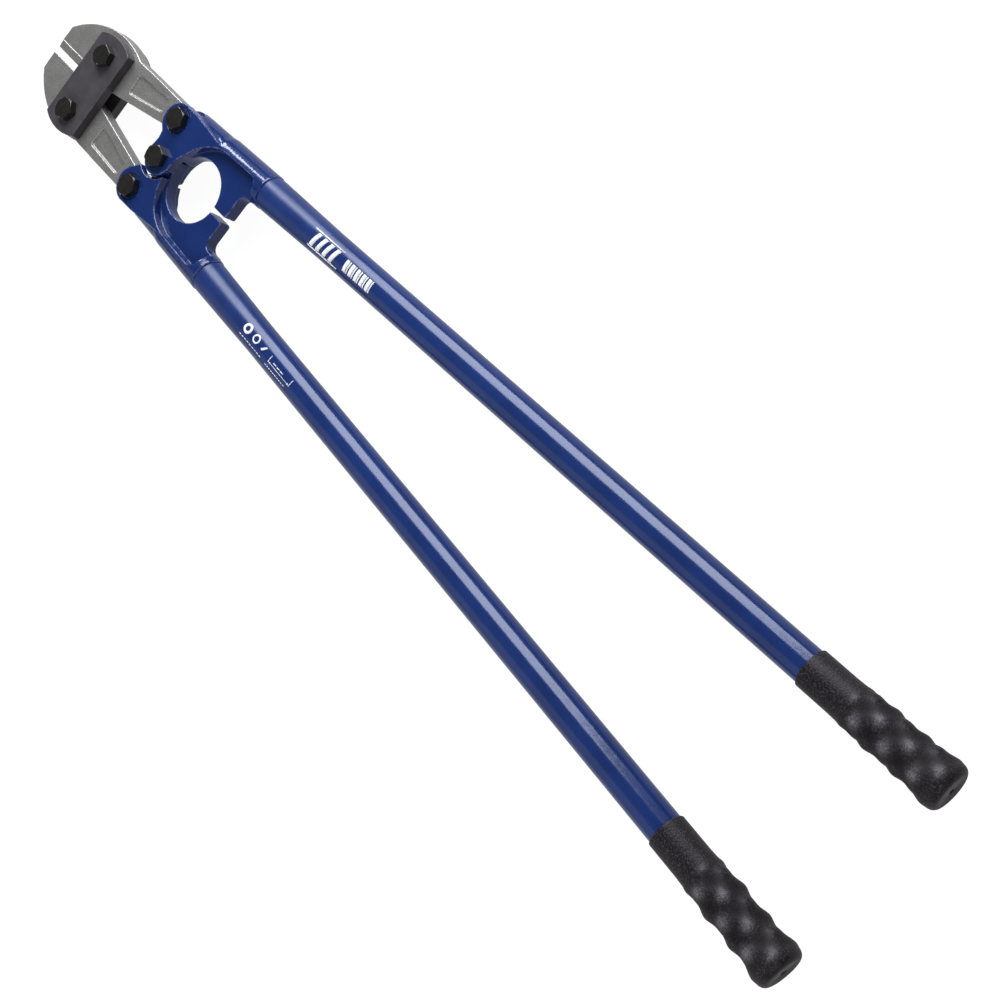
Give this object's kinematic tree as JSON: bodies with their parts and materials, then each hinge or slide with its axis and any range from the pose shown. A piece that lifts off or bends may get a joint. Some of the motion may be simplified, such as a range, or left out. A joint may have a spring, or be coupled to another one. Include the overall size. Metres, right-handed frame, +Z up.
{
  "type": "bolt cutters",
  "caption": "Long-handled bolt cutters with compound linkage: two jaws between link plates, two handle heads crossing at a pivot, long tubes and moulded grips.",
  "frame": {"origin": "middle of the bounding box at its lowest face, under the pivot nuts of the link plates", "axes": "+X towards the jaw tips, +Y towards the left handle, +Z up out of the face that carries the bolt heads"},
  "size_m": [0.9066, 0.181, 0.0442],
  "materials": {
    "forged_steel": "blasted forging, satin, with bright ground edges",
    "bright_sleeve": "turned steel",
    "dark_plate": "charcoal phosphate and oil, satin",
    "black_bolt": "black oxide, slightly glossy",
    "blue_enamel": "deep blue gloss enamel",
    "black_grip": "black moulded grip with a fine pebble grain"
  },
  "bodies": {
    "links": {"front_link_plate": "dark_plate", "rear_link_plate": "dark_plate", "link_bolt_right": "black_bolt", "link_sleeve_right": "bright_sleeve", "link_washer_right": "black_bolt", "link_nut_right": "black_bolt", "link_bolt_left": "black_bolt", "link_sleeve_left": "bright_sleeve", "link_washer_left": "black_bolt", "link_nut_left": "black_bolt"},
    "jaw_right_body": {"jaw_right": "forged_steel"},
    "jaw_left_body": {"jaw_left": "forged_steel"},
    "handle_right": {"head_right": "blue_enamel", "tube_right": "blue_enamel", "grip_right": "black_grip", "jaw_pivot_bolt_right": "black_bolt", "jaw_pivot_sleeve_right": "bright_sleeve", "jaw_pivot_washer_right": "black_bolt", "jaw_pivot_nut_right": "black_bolt", "center_pivot_bolt": "black_bolt", "center_pivot_sleeve": "bright_sleeve"},
    "handle_left": {"head_left": "blue_enamel", "tube_left": "blue_enamel", "grip_left": "black_grip", "jaw_pivot_bolt_left": "black_bolt", "jaw_pivot_sleeve_left": "bright_sleeve", "jaw_pivot_washer_left": "black_bolt", "jaw_pivot_nut_left": "black_bolt"}
  },
  "joints": [
    {"name": "jaw_right_pivot", "type": "hinge", "parent": "links", "child": "jaw_right_body", "pos_m": [0.39727, -0.0255, 0.0237], "axis": [0, 0, 1], "range_deg": [-6.12, 0.26]},
    {"name": "jaw_left_pivot", "type": "hinge", "parent": "links", "child": "jaw_left_body", "pos_m": [0.39727, 0.0255, 0.0237], "axis": [0, 0, 1], "range_deg": [-0.26, 6.12]},
    {"name": "handle_right_pivot", "type": "hinge", "parent": "jaw_right_body", "child": "handle_right", "pos_m": [0.30127, -0.0315, 0.0237], "axis": [0, 0, 1], "range_deg": [-1.6, 46]},
    {"name": "handle_left_pivot", "type": "hinge", "parent": "jaw_left_body", "child": "handle_left", "pos_m": [0.30127, 0.0315, 0.0237], "axis": [0, 0, 1], "range_deg": [-46.05, 1.65]}
  ],
  "couplings": [
    {"joint": "jaw_right_pivot", "follows": "handle_right_pivot", "ratio": -0.132},
    {"joint": "jaw_left_pivot", "follows": "handle_right_pivot", "ratio": 0.132},
    {"joint": "handle_left_pivot", "follows": "handle_right_pivot", "ratio": -1}
  ]
}
